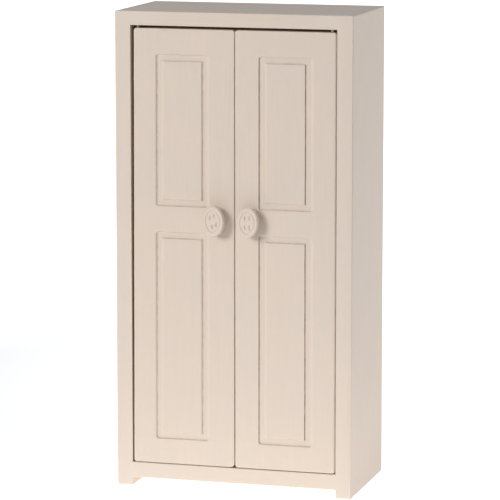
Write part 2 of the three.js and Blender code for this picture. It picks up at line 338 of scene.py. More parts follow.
def gridded_board(xs, ys, zs):
    """A closed box with grid lines over its faces at the given coordinates."""
    bm = bmesh.new()
    corners = {}

    def corner(i, j, k):
        if (i, j, k) not in corners:
            corners[i, j, k] = bm.verts.new((xs[i], ys[j], zs[k]))
        return corners[i, j, k]

    for k in (0, len(zs) - 1):
        for i in range(len(xs) - 1):
            for j in range(len(ys) - 1):
                bm.faces.new([corner(i + a, j + b, k) for a, b in ((0, 0), (1, 0), (1, 1), (0, 1))])
    for j in (0, len(ys) - 1):
        for i in range(len(xs) - 1):
            for k in range(len(zs) - 1):
                bm.faces.new([corner(i + a, j, k + b) for a, b in ((0, 0), (1, 0), (1, 1), (0, 1))])
    for i in (0, len(xs) - 1):
        for j in range(len(ys) - 1):
            for k in range(len(zs) - 1):
                bm.faces.new([corner(i, j + a, k + b) for a, b in ((0, 0), (1, 0), (1, 1), (0, 1))])
    bmesh.ops.recalc_face_normals(bm, faces=bm.faces)
    return bm


def rounded_board(name, bm, radius_of, material):
    """A board made from a closed box mesh, with its edges rounded by radius_of(one end, other end)."""
    weights = bm.edges.layers.float.new("bevel_weight_edge")
    for edge in bm.edges:
        if edge.calc_face_angle(0) > SHARP_ANGLE:
            edge[weights] = radius_of(edge.verts[0].co, edge.verts[1].co) / CASE_ROUNDING
    board = mesh_object(name + "_painted", bm, [material])
    bevel = board.modifiers.new("rounding", "BEVEL")
    bevel.limit_method = "WEIGHT"
    bevel.width = CASE_ROUNDING
    bevel.segments = ROUND_STEPS
    apply_modifiers(board)
    return board


def near(a, b):
    """True when two coordinates are the same but for rounding."""
    return abs(a - b) < SAME_PLACE


def steps(start, end, count):
    """Evenly spaced coordinates from start to end."""
    return [start + (end - start) * i / count for i in range(count + 1)]


def turned_loops(profile, sides, place):
    """Loops of a turned piece: profile is (radius, height) pairs, and place maps (x, y, height)."""
    loops = []
    for radius, height in profile:
        loops.append([
            place(radius * math.cos(math.tau * i / sides), radius * math.sin(math.tau * i / sides), height)
            for i in range(sides)
        ])
    return loops


def turned_mesh(profile, sides, place):
    """A closed turned piece; the first and last profile points are the edges of flat ends."""
    bm = bmesh.new()
    loops = [add_loop(bm, points) for points in turned_loops(profile, sides, place)]
    join_all(bm, loops)
    bm.faces.new(loops[0])
    bm.faces.new(loops[-1])
    return bm


def quarter(centre_r, centre_h, radius, start, end, count=5):
    """Points of an arc in a profile, from one angle to another, in degrees."""
    return [
        (
            centre_r + radius * math.cos(math.radians(start + (end - start) * i / count)),
            centre_h + radius * math.sin(math.radians(start + (end - start) * i / count)),
        )
        for i in range(count + 1)
    ]


# ---------------------------------------------------------------- materials

def add_node(tree, kind, **values):
    """A new node with some of its input sockets or properties set by name."""
    made = tree.nodes.new(kind)
    for name, value in values.items():
        socket = made.inputs.get(name.replace("_", " "))
        if socket is not None:
            socket.default_value = value
        else:
            setattr(made, name, value)
    return made


def new_material(name):
    """A material with only a shader and an output in its tree; gives (material, tree, shader)."""
    material = bpy.data.materials.new(name)
    material.use_nodes = True
    tree = material.node_tree
    return material, tree, tree.nodes["Principled BSDF"]


def stretched_noise(tree, stretch, detail, roughness=0.5):
    """Noise whose cells per metre along X, Y and Z are given by stretch."""
    coordinates = add_node(tree, "ShaderNodeTexCoord")
    mapping = add_node(tree, "ShaderNodeMapping", Scale=stretch)
    made = add_node(tree, "ShaderNodeTexNoise", Scale=1.0, Detail=detail, Roughness=roughness)
    tree.links.new(coordinates.outputs["Object"], mapping.inputs["Vector"])
    tree.links.new(mapping.outputs["Vector"], made.inputs["Vector"])
    return made.outputs["Fac"]


def ramp(tree, value, low, high, low_out=0.0, high_out=1.0):
    """A value carried from one range to another, kept inside the second."""
    made = add_node(tree, "ShaderNodeMapRange", From_Min=low, From_Max=high, To_Min=low_out, To_Max=high_out)
    made.clamp = True
    tree.links.new(value, made.inputs["Value"])
    return made.outputs["Result"]


def mixed_colour(tree, factor, first, second):
    """A colour between two others; each is a colour or a socket."""
    made = add_node(tree, "ShaderNodeMix", data_type="RGBA")
    tree.links.new(factor, made.inputs["Factor"])
    for socket, colour in ((made.inputs[6], first), (made.inputs[7], second)):
        if isinstance(colour, tuple):
            socket.default_value = (*colour, 1.0)
        else:
            tree.links.new(colour, socket)
    return made.outputs[2]


def combined(tree, operation, first, second):
    """The result of a Math node on two sockets."""
    made = add_node(tree, "ShaderNodeMath", operation=operation)
    tree.links.new(first, made.inputs[0])
    tree.links.new(second, made.inputs[1])
    return made.outputs[0]


def bumped(tree, shader, layers):
    """Bump on a shader from (height socket, depth in metres) layers."""
    normal = None
    for height, depth in layers:
        made = add_node(tree, "ShaderNodeBump", Strength=1.0, Distance=depth)
        tree.links.new(height, made.inputs["Height"])
        if normal is not None:
            tree.links.new(normal, made.inputs["Normal"])
        normal = made.outputs["Normal"]
    tree.links.new(normal, shader.inputs["Normal"])


def scaled(colour, factor):
    """A colour made lighter or darker."""
    return tuple(channel * factor for channel in colour)


# Cells of noise per metre, (along, across) the strokes, grain or drawn lines where there are two.
STROKES = (45.0, 1100.0)
PATCHES = 38.0
DENTS = 160.0
SPECKLES = 2600.0
# Breaks along the painted shade, with some dirt, at the foot of the channel walls.
SHADE_AND_DIRT_BREAKS = 260.0
FIBRES = 900.0
BOARD_PATCHES = (50.0, 70.0)
GRAIN = (60.0, 1500.0)
PORES = (300.0, 6000.0)
DRAWN_LINES = (700.0, 5000.0)
DULL_SPOTS = 500.0

# Colours that materials have in common, and the range of Pointiness over which an edge turns worn.
PAINT = (0.75, 0.638, 0.541)
PAINT_WARM = (0.765, 0.638, 0.523)
EDGE_WORN = (0.78, 0.69, 0.60)
EDGE_WEAR = (0.52, 0.60)
# Painted shade, with some dirt, at the foot of channel walls that face away from the light.
FOOT_SHADE_AND_DIRT = (0.2, 0.135, 0.09)
STEEL_PALE = (0.40, 0.35, 0.29)
STEEL_DARK = (0.28, 0.24, 0.20)

# Ranges of roughness.
PAINT_SATIN = (0.46, 0.62)
CREVICE_MATT = (0.55, 0.8)
BOARD_MATT = (0.68, 0.85)
WOOD_MATT = (0.5, 0.7)
STEEL_DULL = (0.45, 0.65)


def even(cells):
    """The same cells per metre along all three axes."""
    return (cells, cells, cells)


def drawn_out(cells, grain):
    """Cells per metre along each axis for (along, across) cells and a grain axis "X", "Y" or "Z"."""
    along, across = cells
    return tuple(along if axis == grain else across for axis in "XYZ")


def paint_colour(tree, tone, strokes):
    """Brushed satin paint: patches of two close tones, faint strokes and lighter worn edges."""
    patches = stretched_noise(tree, even(PATCHES), 3.0)
    two_tones = mixed_colour(tree, ramp(tree, patches, 0.3, 0.7), scaled(tone, 0.985), PAINT_WARM)
    darker = mixed_colour(tree, ramp(tree, strokes, 0.35, 0.75, 0.0, 0.35), two_tones, scaled(tone, 0.93))
    pointed = add_node(tree, "ShaderNodeNewGeometry").outputs["Pointiness"]
    return mixed_colour(tree, ramp(tree, pointed, *EDGE_WEAR, 0.0, 0.35), darker, EDGE_WORN)


def stroke_noise(tree, grain):
    """The noise of brush strokes along the grain axis."""
    return stretched_noise(tree, drawn_out(STROKES, grain), 4.0, 0.6)


def paint_material(name, tone, grain):
    """Satin cream paint brushed along the grain axis."""
    material, tree, shader = new_material(name)
    strokes = stroke_noise(tree, grain)
    speckles = stretched_noise(tree, even(SPECKLES), 2.0)
    dents = stretched_noise(tree, even(DENTS), 2.0)
    tree.links.new(paint_colour(tree, tone, strokes), shader.inputs["Base Color"])
    tree.links.new(ramp(tree, strokes, 0.2, 0.8, *PAINT_SATIN), shader.inputs["Roughness"])
    shader.inputs["Specular IOR Level"].default_value = 0.4
    bumped(tree, shader, [(dents, 0.22 * MM), (strokes, 0.028 * MM), (speckles, 0.008 * MM)])
    return material


def foot_shade_and_dirt_material(name, tone, grain, strength):
    """The same paint darkened at the foot of a channel wall, broken along its length: painted shade, with
    some dirt.
    """
    material, tree, shader = new_material(name)
    strokes = stroke_noise(tree, grain)
    breaks = stretched_noise(tree, even(SHADE_AND_DIRT_BREAKS), 3.0, 0.7)
    paint = paint_colour(tree, tone, strokes)
    # The darkening is painted shade, with some dirt, broken into patches along the wall.
    shade_and_dirt = ramp(tree, breaks, 0.36, 0.60, 0.15 * strength, strength)
    tree.links.new(mixed_colour(tree, shade_and_dirt, paint, FOOT_SHADE_AND_DIRT), shader.inputs["Base Color"])
    tree.links.new(ramp(tree, breaks, 0.3, 0.7, *CREVICE_MATT), shader.inputs["Roughness"])
    bumped(tree, shader, [(strokes, 0.03 * MM)])
    return material


def board_material(name, tone):
    """Thin matt paint over pressed board: fine fibres show through."""
    material, tree, shader = new_material(name)
    fibres = stretched_noise(tree, even(FIBRES), 5.0, 0.7)
    patches = stretched_noise(tree, drawn_out(BOARD_PATCHES, "Z"), 4.0)
    base = mixed_colour(tree, ramp(tree, patches, 0.3, 0.7), tone, scaled(tone, 0.88))
    flecked = mixed_colour(tree, ramp(tree, fibres, 0.55, 0.75, 0.0, 0.5), base, scaled(tone, 0.72))
    tree.links.new(flecked, shader.inputs["Base Color"])
    tree.links.new(ramp(tree, patches, 0.2, 0.8, *BOARD_MATT), shader.inputs["Roughness"])
    bumped(tree, shader, [(fibres, 0.04 * MM), (patches, 0.1 * MM)])
    return material


def wood_material(name, pale, dark, grain):
    """Bare wood with its figure and pores drawn out along the grain axis."""
    material, tree, shader = new_material(name)
    figure = stretched_noise(tree, drawn_out(GRAIN, grain), 5.0, 0.65)
    pores = stretched_noise(tree, drawn_out(PORES, grain), 3.0)
    base = mixed_colour(tree, ramp(tree, figure, 0.3, 0.7), pale, dark)
    porous = mixed_colour(tree, ramp(tree, pores, 0.6, 0.75, 0.0, 0.6), base, scaled(dark, 0.65))
    tree.links.new(porous, shader.inputs["Base Color"])
    tree.links.new(ramp(tree, figure, 0.2, 0.8, *WOOD_MATT), shader.inputs["Roughness"])
    bumped(tree, shader, [(figure, 0.04 * MM), (pores, 0.03 * MM)])
    return material


def steel_material(name):
    """Drawn steel wire, slightly dulled, with fine lines."""
    material, tree, shader = new_material(name)
    lines = stretched_noise(tree, drawn_out(DRAWN_LINES, "Z"), 3.0)
    dull = stretched_noise(tree, even(DULL_SPOTS), 3.0)
    base = mixed_colour(tree, ramp(tree, dull, 0.4, 0.7), STEEL_PALE, STEEL_DARK)
    tree.links.new(base, shader.inputs["Base Color"])
    tree.links.new(ramp(tree, dull, 0.3, 0.7, *STEEL_DULL), shader.inputs["Roughness"])
    shader.inputs["Metallic"].default_value = 1.0
    bumped(tree, shader, [(lines, 0.01 * MM)])
    return material


PAINT_UP = paint_material("paint_upright", PAINT, "Z")
PAINT_ACROSS = paint_material("paint_across", PAINT, "X")
PAINT_KNOB = paint_material("paint_knob", scaled(PAINT, 1.02), "Z")
# Paints with painted shade, and some dirt, at the foot of channel walls: stronger on the right door, faint
# on walls facing up.
FOOT_SHADE_PAINTS = {
    "left": foot_shade_and_dirt_material("paint_foot_shade_left", PAINT, "Z", 0.22),
    "right": foot_shade_and_dirt_material("paint_foot_shade_right", PAINT, "Z", 0.42),
    "faint": foot_shade_and_dirt_material("paint_foot_shade_faint", PAINT, "X", 0.2),
}
# Which of a door's materials (paint, its own painted foot shade, faint painted foot shade) lies at the foot
# of a
# wall, by the way that the wall faces: walls facing right, away from the key light, and walls facing up,
# away from the glowing floor, take painted shade.
FOOT_SHADE_SLOT = {"right": 1, "up": 2, "left": 0, "down": 0}
BACK_BOARD = board_material("back_board", (0.60, 0.51, 0.42))
DOWEL_WOOD = wood_material("dowel_wood", (0.62, 0.44, 0.26), (0.48, 0.31, 0.16), "X")
SHELF_WOOD = wood_material("shelf_wood", (0.60, 0.45, 0.31), (0.50, 0.36, 0.23), "X")
# The door stop strip is darker wood than the rest, as painted shade in the gap above the doors.
STRIP_SHADE_WOOD = wood_material("strip_wood_shade_dark", (0.34, 0.22, 0.13), (0.24, 0.15, 0.085), "X")
# Bare wood inside the side panels, its tone set darker than the paint as painted shade in the gaps beside
# the doors.
SIDE_WOOD_GAP_SHADE = wood_material("side_wood_gap_shade", (0.68, 0.55, 0.42), (0.60, 0.47, 0.34), "Z")
STEEL = steel_material("pin_steel")


# ---------------------------------------------------------------- the case

CASE_LOW, CASE_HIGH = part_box("left_side_panel")[0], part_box("right_side_panel")[1]
FRONT, BACK = CASE_LOW.y, CASE_HIGH.y
INNER_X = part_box("right_side_panel")[0].x
BOARD_BOTTOM, INNER_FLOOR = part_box("bottom_board")[0].z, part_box("bottom_board")[1].z
INNER_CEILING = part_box("top_board")[0].z
PANEL_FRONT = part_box("back_panel")[0].y


def bare_inside_gap_shade(panel, inner):
    """Bare wood on the inner face of a side panel, at X = inner, behind the overlap of the paint; its tone,
    darker than the paint, is also painted shade for the gap beside the door.
    """
    panel.data.materials.append(SIDE_WOOD_GAP_SHADE)
    for face in panel.data.polygons:
        inside = near(face.center.x, inner) and face.center.y > FRONT + PAINT_OVERLAP
        if inside and INNER_FLOOR < face.center.z < INNER_CEILING:
            face.material_index = 1


def side_panel(side):
    """A side panel with its foot, rounded where it shows, bare inside with its wood tone partly painted
    gap shade, and cut for the back panel, shelf and rail."""
    name = f"{side}_side_panel"
    low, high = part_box(name)
    sign = 1 if side == "right" else -1
    inner = sign * INNER_X
    outer = sign * CASE_HIGH.x
    heights = [low.z, BOARD_BOTTOM, *steps(INNER_FLOOR, INNER_CEILING, UPRIGHT_PARTS), high.z]
    bm = gridded_board(sorted((inner, outer)), (FRONT, FRONT + PAINT_OVERLAP, BACK), heights)

    def radius_of(a, b):
        if near(a.z, low.z) and near(b.z, low.z):
            return FRONT_ROUNDING
        if near(a.y, FRONT) and near(b.y, FRONT):
            upright_inside = near(a.x, inner) and near(b.x, inner)
            return 0.0 if upright_inside else FRONT_ROUNDING
        outside = near(a.x, outer) and near(b.x, outer)
        along_top = near(a.z, high.z) and near(b.z, high.z) and not near(a.x, b.x)
        return CASE_ROUNDING if outside or along_top else 0.0

    panel = rounded_board(name, bm, radius_of, PAINT_UP)
    bare_inside_gap_shade(panel, inner)
    shelf_low, shelf_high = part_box("shelf")
    rail = middle("clothes_rail")
    rail_low, rail_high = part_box("clothes_rail")
    rail_radius = (rail_high.z - rail_low.z) / 2
    shelf_end = sign * (shelf_high.x + PLAY)
    rail_end = sign * (rail_high.x + PLAY)
    start = inner - sign * OVERRUN
    cut(panel, [
        box_mesh(
            (min(start, inner + sign * REBATE), PANEL_FRONT, INNER_FLOOR - REBATE),
            (max(start, inner + sign * REBATE), BACK + OVERRUN, INNER_CEILING + REBATE),
        ),
        box_mesh(
            (min(start, shelf_end), shelf_low.y - PLAY, shelf_low.z - PLAY),
            (max(start, shelf_end), PANEL_FRONT + OVERRUN / 2, shelf_high.z + PLAY),
        ),
        rod_mesh((start, rail.y, rail.z), (rail_end, rail.y, rail.z), rail_radius + PLAY),
    ])
    finish_piece(panel, "case", [name])


def pin_bores(names, low, high):
    """Cutters for the bores of hinge pins, between two heights."""
    bores = []
    for name in names:
        place = middle(name)
        pin_low, pin_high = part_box(name)
        radius = (pin_high.x - pin_low.x) / 2 + BORE_PLAY
        bores.append(rod_mesh((place.x, place.y, low), (place.x, place.y, high), radius))
    return bores


def cross_board(name, low_z, high_z, rebate_low, rebate_high, pins, bore_end):
    """The top or bottom board, between the side panels, with its rebate for the back panel between two
    heights, and bores for the pins from inside the case to bore_end."""
    bm = gridded_board(steps(-INNER_X, INNER_X, CROSS_PARTS), (FRONT, BACK), (low_z, high_z))
    hidden_z = (rebate_low + rebate_high) / 2

    def radius_of(a, b):
        if not (near(a.y, b.y) and near(a.z, b.z)):
            return 0.0
        faces_opening = abs(a.z - hidden_z) < REBATE
        if near(a.y, FRONT):
            return OPENING_ROUNDING if faces_opening else FRONT_ROUNDING
        return 0.0 if faces_opening else CASE_ROUNDING

    board = rounded_board(name, bm, radius_of, PAINT_ACROSS)
    bore_start = INNER_FLOOR + OVERRUN if bore_end < INNER_FLOOR else INNER_CEILING - OVERRUN
    cut(board, [
        box_mesh(
            (-INNER_X - OVERRUN, PANEL_FRONT, rebate_low),
            (INNER_X + OVERRUN, BACK + OVERRUN, rebate_high),
        ),
        *pin_bores(pins, min(bore_start, bore_end), max(bore_start, bore_end)),
    ])
    finish_piece(board, "case", [name])


def small_board(name, radius, material):
    """A plain inner board with softened edges, the size of its CAD node."""
    low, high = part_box(name)
    bm = gridded_board(steps(low.x, high.x, INNER_PARTS), (low.y, high.y), (low.z, high.z))
    board = rounded_board(name, bm, lambda a, b: radius, material)
    finish_piece(board, "case", [name])


def clothes_rail():
    """The dowel, turned smooth, with softened ends."""
    low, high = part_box("clothes_rail")
    centre = (low + high) / 2
    radius = (high.z - low.z) / 2
    length = high.x - low.x
    soft = INNER_ROUNDING
    profile = [
        *quarter(radius - soft, soft, soft, -90, 0),
        *quarter(radius - soft, length - soft, soft, 0, 90),
    ]
    bm = turned_mesh(profile, TURNED_SIDES, lambda x, y, h: (low.x + h, centre.y + x, centre.z + y))
    rail = mesh_object("clothes_rail_turned", bm, [DOWEL_WOOD])
    finish_piece(rail, "case", ["clothes_rail"])


def hinge_pin(name):
    """A hinge pin with rounded ends."""
    low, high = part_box(name)
    centre = (low + high) / 2
    radius = (high.x - low.x) / 2
    soft = radius * PIN_SOFTNESS
    profile = [
        *quarter(radius - soft, soft, soft, -90, 0),
        *quarter(radius - soft, high.z - low.z - soft, soft, 0, 90),
    ]
    bm = turned_mesh(profile, SMALL_SIDES, lambda x, y, h: (centre.x + x, centre.y + y, low.z + h))
    pin = mesh_object(name + "_turned", bm, [STEEL])
    finish_piece(pin, "case", [name])


def brad(name):
    """A brad: cut point, drawn shank and a head with a soft rim, slightly domed."""
    low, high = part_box(name)
    centre = (low + high) / 2
    head = (high.x - low.x) / 2
    shank = head * BRAD_SHANK
    rim = BRAD_HEAD_HEIGHT * BRAD_RIM
    under = high.y - low.y - BRAD_HEAD_HEIGHT
    dome_height = BRAD_HEAD_HEIGHT - rim
    profile = [
        (shank * BRAD_POINT, 0.0),
        (shank, shank * BRAD_TAPER),
        (shank, under - rim / 2),
        (shank * BRAD_NECK, under),
        *quarter(head - rim, under + rim, rim, -90, 40),
        *[
            (head * BRAD_DOME * math.cos(angle), under + rim + dome_height * math.sin(angle))
            for angle in DOME_ANGLES
        ],
    ]
    bm = turned_mesh(profile, SMALL_SIDES, lambda x, y, h: (centre.x + x, low.y + h, centre.z + y))
    nail = mesh_object(name + "_turned", bm, [STEEL])
    finish_piece(nail, "case", [name])


# ---------------------------------------------------------------- the doors

# How many parts the level sides, upright sides and corners of a loop have, and the walls of a channel.
X_PARTS = 10
Z_PARTS = 30
CORNER_PARTS = 6
WALL_PARTS = 8

# The sides of a rectangle in the order of its loops, with the way that a channel's outer wall and the
# wall of its raised panel face on each.
SIDES = ("right", "top", "left", "bottom")
OUTER_FACES = ("left", "down", "right", "up")
PANEL_FACES = ("right", "up", "left", "down")
CHANNEL_WIDTHS = (STILE_CHANNEL, RAIL_CHANNEL, STILE_CHANNEL, RAIL_CHANNEL)


def rectangle_loop(low, high, insets, depths, radii):
    """Points round an upright rectangle between (x, z) corners, with an inset and a depth in Y for each
    side and a radius for each corner; corner i lies between side i and the next."""
    x0, z0 = low[0] + insets[2], low[1] + insets[3]
    x1, z1 = high[0] - insets[0], high[1] - insets[1]
    centres = [
        (x1 - radii[0], z1 - radii[0]), (x0 + radii[1], z1 - radii[1]),
        (x0 + radii[2], z0 + radii[2]), (x1 - radii[3], z0 + radii[3]),
    ]

    def arc_point(corner, part):
        corner %= 4
        share = part / CORNER_PARTS
        angle = math.pi / 2 * (corner + share)
        depth = depths[corner] * (1 - share) + depths[(corner + 1) % 4] * share
        x = centres[corner][0] + radii[corner] * math.cos(angle)
        z = centres[corner][1] + radii[corner] * math.sin(angle)
        return Vector((x, depth, z))

    points = []
    for corner in range(4):
        points.extend(arc_point(corner, part) for part in range(CORNER_PARTS + 1))
        last, following = points[-1], arc_point(corner + 1, 0)
        parts = X_PARTS if corner % 2 == 0 else Z_PARTS
        points.extend(last.lerp(following, part / parts) for part in range(1, parts))
    return points


def loop_sides():
    """The side that each stretch of a rectangle loop belongs to; an arc is shared by its two sides."""
    sides = []
    for corner in range(4):
        following = (corner + 1) % 4
        parts = X_PARTS if corner % 2 == 0 else Z_PARTS
        half = CORNER_PARTS // 2
        sides += [corner] * half + [following] * (CORNER_PARTS - half + parts)
    return sides


def wavered(point):
    """A point with a small smooth shift in the door's plane, as hand sanding and thick paint leave."""
    shift = noise.noise_vector(point / WAVE_LENGTH)
    return point + Vector((shift.x, 0, shift.z)) * WAVE_HEIGHT


def channel_section(side, width, outer_face, panel_face):
    """(inset, depth) points across one side of a channel, from its outer rim to the raised panel: a
    wall, the crack at its foot, the bottom, and the same again on the panel's side."""
    wall = [
        (part / WALL_PARTS, (1 - math.cos(math.pi * part / WALL_PARTS)) / 2)
        for part in range(WALL_PARTS + 1)
    ]
    slopes, cracks = WALL_SLOPE[side], CRACK_DEPTH[side]
    outer_slope, panel_slope = slopes[outer_face], slopes[panel_face]
    foot, far_foot = outer_slope, width - panel_slope
    return [
        *[(outer_slope * across, CHANNEL_DEPTH * down) for across, down in wall],
        (foot + CRACK_WIDTH / 2, CHANNEL_DEPTH + cracks[outer_face]),
        (foot + CRACK_WIDTH, CHANNEL_DEPTH),
        (far_foot - CRACK_WIDTH, CHANNEL_DEPTH),
        (far_foot - CRACK_WIDTH / 2, CHANNEL_DEPTH + cracks[panel_face]),
        *[(width - panel_slope * across, CHANNEL_DEPTH * down) for across, down in reversed(wall)],
    ]


def routed_panel(bm, low, high, front, side):
    """One routed channel and its raised panel; gives the loop at the channel's outer rim."""
    sections = [
        channel_section(side, width, outer_face, panel_face)
        for width, outer_face, panel_face in zip(CHANNEL_WIDTHS, OUTER_FACES, PANEL_FACES)
    ]
    loops = []
    for across in zip(*sections):
        insets = [inset for inset, depth in across]
        depths = [front + depth for inset, depth in across]
        radius = max(ROUTER_RADIUS - max(insets), LEAST_ROUTER_RADIUS)
        points = rectangle_loop(low, high, insets, depths, [radius] * 4)
        loops.append(add_loop(bm, [wavered(point) for point in points]))
    crack_start = WALL_PARTS // 2
    far_crack_end = len(loops) - 1 - crack_start
    bottom = WALL_PARTS + 2
    for index in range(len(loops) - 1):
        faces = OUTER_FACES if index < bottom else PANEL_FACES
        # The foot of each wall, past its crack, takes the painted shade that suits the way the wall faces.
        in_foot_shade = crack_start <= index < far_crack_end and index != bottom
        slots = [FOOT_SHADE_SLOT[faces[of]] if in_foot_shade else 0 for of in loop_sides()]
        join_loops(bm, loops[index], loops[index + 1], slots)
    bm.faces.new(loops[-1])
    return loops[0]


def rim_arc(radius, part):
    """How far in and how deep a rounded rim is at one of its ROUND_STEPS, from its inner edge outwards."""
    angle = math.pi / 2 * part / ROUND_STEPS
    return radius * (1 - math.sin(angle)), radius * (1 - math.cos(angle))


def outline_loops(bm, side, start, end):
    """Loops round a door from its front face to its back, between two opposite corners: a soft front
    rim, the edge, bevelled where the doors meet, and a small back rim. The first and last bound the
    front and back faces."""
    thickness = end.y - start.y
    meeting, hinge = ("right", "left") if side == "left" else ("left", "right")
    rounding = {
        meeting: MEETING_ROUNDING, hinge: HINGE_ROUNDING,
        "top": TOP_ROUNDING, "bottom": BOTTOM_ROUNDING,
    }
    rims = [[rim_arc(rounding[name], part) for name in SIDES] for part in range(ROUND_STEPS + 1)]
    for part in reversed(range(ROUND_STEPS + 1)):
        inset, depth = rim_arc(BACK_ROUNDING, part)
        rims.append([(inset, thickness - depth)] * 4)
    loops = []
    for rim in rims:
        insets = [inset for inset, depth in rim]
        depths = [start.y + depth for inset, depth in rim]
        insets[SIDES.index(meeting)] += MEETING_BEVEL * (depths[SIDES.index(meeting)] - start.y) / thickness
        radii = [max(CORNER_ROUNDING - max(insets), LEAST_CORNER_RADIUS)] * 4
        if side == "left":
            # The corner after the bottom side is the one at the foot of the meeting edge.
            radii[SIDES.index("bottom")] += WORN_CORNER
        points = rectangle_loop((start.x, start.z), (end.x, end.z), insets, depths, radii)
        loops.append(add_loop(bm, [wavered(point) for point in points]))
    return loops


def lean(bm, side, hinge_edge, meeting_edge):
    """Shifts a door's top towards +X and its bottom back, by its own amount at each upright edge."""
    low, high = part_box(f"{side}_door")
    middle_z = (low.z + high.z) / 2
    for vertex in bm.verts:
        across = (vertex.co.x - hinge_edge) / (meeting_edge - hinge_edge)
        shift = HINGE_LEAN[side] + (MEETING_LEAN[side] - HINGE_LEAN[side]) * across
        vertex.co.x += shift * (vertex.co.z - middle_z) / (high.z - low.z)


def keep_inside(bm, low, high):
    """Moves any vertex that stands past a box back to its face."""
    for vertex in bm.verts:
        for axis in range(3):
            vertex.co[axis] = min(max(vertex.co[axis], low[axis]), high[axis])


def door(side):
    """A door board with rounded rims and two routed panels, leaned, and bored for its pins and peg."""
    name = f"{side}_door"
    low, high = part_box(name)
    start, end = low.copy(), high.copy()
    if side == "left":
        start.x += HINGE_LEAN[side] / 2
        end.x -= MEETING_LEAN[side] / 2
        hinge_edge, meeting_edge = start.x, end.x
        rim_start = hinge_edge + HINGE_STILE
    else:
        hinge_edge, meeting_edge = end.x, start.x
        rim_start = hinge_edge - HINGE_STILE - RIM_WIDTH[side]
    rim_end = rim_start + RIM_WIDTH[side]
    bm = bmesh.new()
    rims = outline_loops(bm, side, start, end)
    join_all(bm, rims)
    bm.faces.new(rims[-1])

    upper_top = high.z - TOP_RAIL
    upper_bottom = upper_top - UPPER_RIM
    lower_top = upper_bottom - MIDDLE_RAIL
    panel_rims = [
        routed_panel(bm, (rim_start, bottom), (rim_end, top), low.y, side)
        for bottom, top in ((upper_bottom, upper_top), (low.z + BOTTOM_RAIL, lower_top))
    ]
    fill_between(bm, [rims[0], *panel_rims])
    lean(bm, side, hinge_edge, meeting_edge)
    keep_inside(bm, low, high)
    # Its second and third materials carry painted shade at the foot of the channel walls.
    board = mesh_object(name + "_painted", bm, [PAINT_UP, FOOT_SHADE_PAINTS[side], FOOT_SHADE_PAINTS["faint"]])

    upper_pin, lower_pin = f"{side}_door_top_pin", f"{side}_door_bottom_pin"
    peg_low, peg_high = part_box(f"{side}_knob_peg")
    peg = (peg_low + peg_high) / 2
    peg_radius = (peg_high.x - peg_low.x) / 2
    cut(board, [
        *pin_bores([upper_pin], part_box(upper_pin)[0].z - PLAY, high.z + OVERRUN),
        *pin_bores([lower_pin], low.z - OVERRUN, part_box(lower_pin)[1].z + PLAY),
        rod_mesh((peg.x, low.y - OVERRUN, peg.z), (peg.x, peg_high.y + PLAY, peg.z), peg_radius + PEG_PLAY),
    ])
    finish_piece(board, name, [name])


def knob_peg(side):
    """The waisted peg between a door and its knob."""
    name = f"{side}_knob_peg"
    low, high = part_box(name)
    centre = (low + high) / 2
    radius = (high.x - low.x) / 2
    length = high.y - low.y
    door_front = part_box(f"{side}_door")[0].y
    shown = door_front - low.y
    profile = [
        (radius - PEG_WAIST * radius * math.sin(math.pi * part / PEG_STEPS), shown * part / PEG_STEPS)
        for part in range(PEG_STEPS + 1)
    ]
    profile.append((radius, length))
    bm = turned_mesh(profile, TURNED_SIDES, lambda x, y, h: (centre.x + x, low.y + h, centre.z + y))
    peg = mesh_object(name + "_turned", bm, [PAINT_KNOB])
    finish_piece(peg, f"{side}_door", [name])


def eased(start, end, count=6):
    """(across, height) points from one profile point to another along an S curve."""
    return [
        (
            start[0] + (end[0] - start[0]) * part / count,
            start[1] + (end[1] - start[1]) * (1 - math.cos(math.pi * part / count)) / 2,
        )
        for part in range(1, count + 1)
    ]


def knob(side):
    """An oval button thick with paint: a soft rim, a groove inside it, a flat boss and four oval holes."""
    name = f"{side}_knob"
    low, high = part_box(name)
    centre = (low + high) / 2
    turn = -KNOB_TURN[side]
    thickness = high.y - low.y
    half_height = (high.z - low.z) / 2 / math.cos(turn)
    holes_turn = KNOB_HOLES_TURN[side]

    def place(x, y, h):
        across, up = x * KNOB_FLATNESS, y
        return Vector((
            centre.x + across * math.cos(turn) + up * math.sin(turn),
            high.y - h,
            centre.z - across * math.sin(turn) + up * math.cos(turn),
        ))

    crest = (half_height - KNOB_CREST, thickness)
    groove = (half_height - KNOB_GROOVE, thickness - KNOB_GROOVE_DEPTH)
    boss = (half_height - KNOB_BOSS, thickness - KNOB_BOSS_DEPTH)
    shoulder = [
        (
            crest[0] + KNOB_CREST * math.cos(math.radians(angle)),
            crest[1] - KNOB_CREST + KNOB_CREST * math.sin(math.radians(angle)),
        )
        for angle in SHOULDER_ANGLES
    ]
    profile = [
        *quarter(half_height - KNOB_EDGE, KNOB_EDGE, KNOB_EDGE, -90, 0),
        *shoulder,
        *eased(crest, groove),
        *eased(groove, boss),
    ]
    bm = bmesh.new()
    loops = [add_loop(bm, points) for points in turned_loops(profile, TURNED_SIDES, place)]
    join_all(bm, loops)
    bm.faces.new(loops[0])
    lips = []
    for right in (-1, 1):
        for up in (-1, 1):
            x, y = right * KNOB_HOLES_ACROSS / 2, up * KNOB_HOLES_UP / 2
            hole_x = x * math.cos(holes_turn) - y * math.sin(holes_turn) + KNOB_HOLES_SHIFT[side]
            hole_y = x * math.sin(holes_turn) + y * math.cos(holes_turn)
            lips.append(knob_hole(bm, hole_x, hole_y, boss[1], place))
    fill_between(bm, [loops[-1], *lips])
    button = mesh_object(name + "_button", bm, [PAINT_KNOB])
    finish_piece(button, f"{side}_door", [name])


